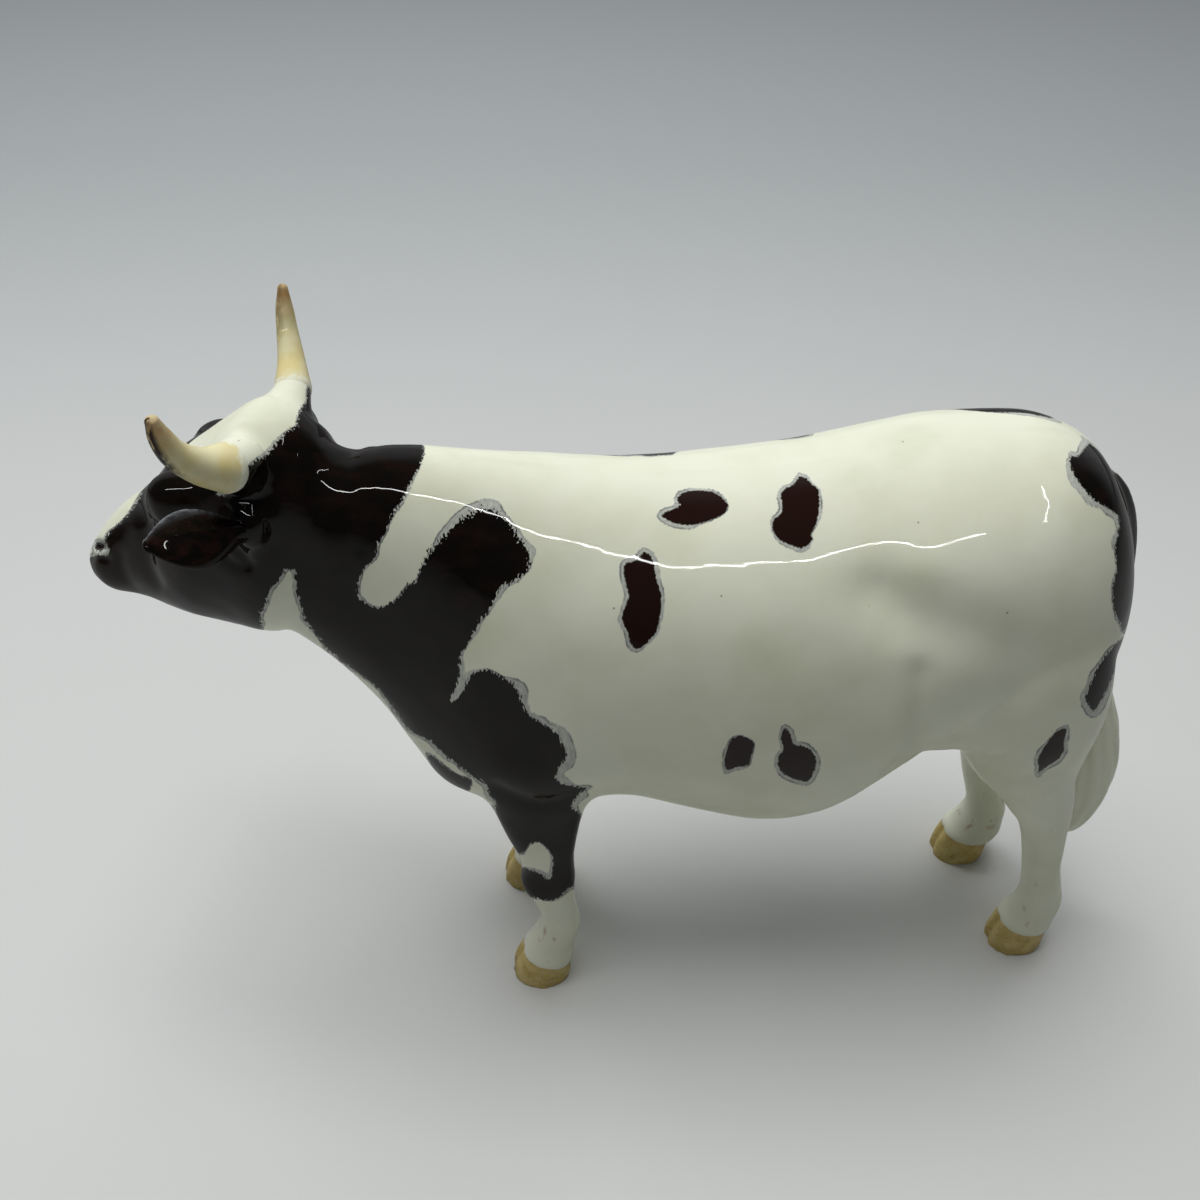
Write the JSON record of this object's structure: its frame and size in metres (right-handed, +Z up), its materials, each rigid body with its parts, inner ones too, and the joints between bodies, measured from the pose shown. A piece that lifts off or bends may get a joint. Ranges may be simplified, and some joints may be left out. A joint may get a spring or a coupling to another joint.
{
  "type": "ceramic cow figurine",
  "caption": "Standing horned dairy cow in glossy glazed ceramic, head turned a little, dark patches on cream, resting on its four hooves.",
  "frame": {"origin": "middle of the figurine's footprint box, on the surface that the hooves stand on", "axes": "+X from the muzzle to the tail, +Y from the cow's left side to its right side, +Z up"},
  "size_m": [0.1976, 0.0548, 0.1422],
  "materials": {
    "painted_glaze": "cream earthenware with near-black painted patches and grey feathered edges under a clear gloss glaze",
    "white_glaze": "cream earthenware under a clear gloss glaze, with fine dark specks",
    "dark_glaze": "brushed near-black brown underglaze under a clear gloss glaze",
    "horn_glaze": "cream yellow wash with brown brush streaks towards the tip under a clear gloss glaze",
    "leg_glaze": "cream leg with a tan, faintly crazed hoof under a clear gloss glaze",
    "udder_glaze": "pale pink cream under a clear gloss glaze"
  },
  "bodies": {
    "root": {"body_shell": "painted_glaze", "head": "painted_glaze", "left_horn": "horn_glaze", "right_horn": "horn_glaze", "left_ear": "dark_glaze", "right_ear": "dark_glaze", "front_left_leg": "leg_glaze", "front_right_leg": "leg_glaze", "rear_left_leg": "leg_glaze", "rear_right_leg": "leg_glaze", "tail": "white_glaze", "udder": "udder_glaze"}
  },
  "joints": []
}
